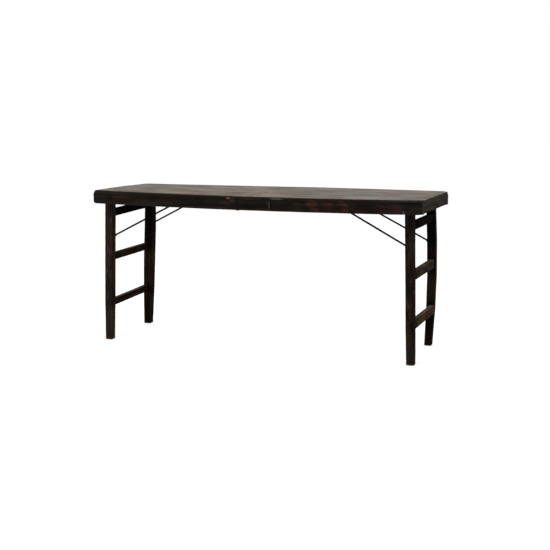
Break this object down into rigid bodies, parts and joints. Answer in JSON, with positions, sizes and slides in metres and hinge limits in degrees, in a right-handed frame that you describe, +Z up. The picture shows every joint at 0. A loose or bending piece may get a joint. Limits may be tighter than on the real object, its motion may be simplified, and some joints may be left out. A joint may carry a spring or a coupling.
{
  "type": "folding console table",
  "caption": "Long narrow old wooden table; ladder-shaped leg frames fold into the hollow under its top on iron axles, held open by thin iron braces.",
  "frame": {"origin": "on the floor, below the middle of the top", "axes": "+X along the table to its right end as seen from the front, +Y from front to back, +Z up"},
  "size_m": [1.698, 0.58, 0.7818],
  "materials": {
    "dark_wood": "old dark stain, worn satin",
    "iron": "forged, dark with age",
    "bamboo": "dry, darkened"
  },
  "bodies": {
    "top": {"front_board": "dark_wood", "middle_board": "dark_wood", "back_board": "dark_wood", "front_rail": "dark_wood", "back_rail": "dark_wood", "left_end_rail": "dark_wood", "right_end_rail": "dark_wood", "centre_batten": "dark_wood", "left_axle": "iron", "right_axle": "iron", "front_left_staple": "iron", "back_left_staple": "iron", "front_right_staple": "iron", "back_right_staple": "iron", "board_nails": "iron", "rail_pegs": "bamboo"},
    "left_leg": {"left_front_post": "dark_wood", "left_back_post": "dark_wood", "left_top_rung": "dark_wood", "left_middle_rung": "dark_wood", "left_lower_rung": "dark_wood", "left_pegs": "bamboo", "front_left_brace_pin": "iron", "back_left_brace_pin": "iron"},
    "right_leg": {"right_front_post": "dark_wood", "right_back_post": "dark_wood", "right_top_rung": "dark_wood", "right_middle_rung": "dark_wood", "right_lower_rung": "dark_wood", "right_pegs": "bamboo", "front_right_brace_pin": "iron", "back_right_brace_pin": "iron"},
    "front_left_brace": {"front_left_brace": "iron"},
    "back_left_brace": {"back_left_brace": "iron"},
    "front_right_brace": {"front_right_brace": "iron"},
    "back_right_brace": {"back_right_brace": "iron"}
  },
  "joints": [
    {"name": "left_hinge", "type": "hinge", "parent": "top", "child": "left_leg", "pos_m": [-0.787, 0, 0.733], "axis": [0, -1, 0], "range_deg": [0, 91.4]},
    {"name": "right_hinge", "type": "hinge", "parent": "top", "child": "right_leg", "pos_m": [0.776, 0, 0.733], "axis": [0, 1, 0], "range_deg": [0, 91]},
    {"name": "front_left_brace_pivot", "type": "hinge", "parent": "left_leg", "child": "front_left_brace", "pos_m": [-0.78063, -0.1956, 0.54314], "axis": [0, 1, 0], "range_deg": [0, 118.32]},
    {"name": "back_left_brace_pivot", "type": "hinge", "parent": "left_leg", "child": "back_left_brace", "pos_m": [-0.78017, 0.1956, 0.55864], "axis": [0, 1, 0], "range_deg": [0, 118.6]},
    {"name": "front_right_brace_pivot", "type": "hinge", "parent": "right_leg", "child": "front_right_brace", "pos_m": [0.76892, -0.1956, 0.55117], "axis": [0, -1, 0], "range_deg": [0, 119.49]},
    {"name": "back_right_brace_pivot", "type": "hinge", "parent": "right_leg", "child": "back_right_brace", "pos_m": [0.76925, 0.1956, 0.53868], "axis": [0, -1, 0], "range_deg": [0, 117.93]}
  ],
  "couplings": [
    {"joint": "front_left_brace_pivot", "follows": "left_hinge", "ratio": 1.2945},
    {"joint": "back_left_brace_pivot", "follows": "left_hinge", "ratio": 1.2975},
    {"joint": "front_right_brace_pivot", "follows": "right_hinge", "ratio": 1.313},
    {"joint": "back_right_brace_pivot", "follows": "right_hinge", "ratio": 1.2958}
  ]
}
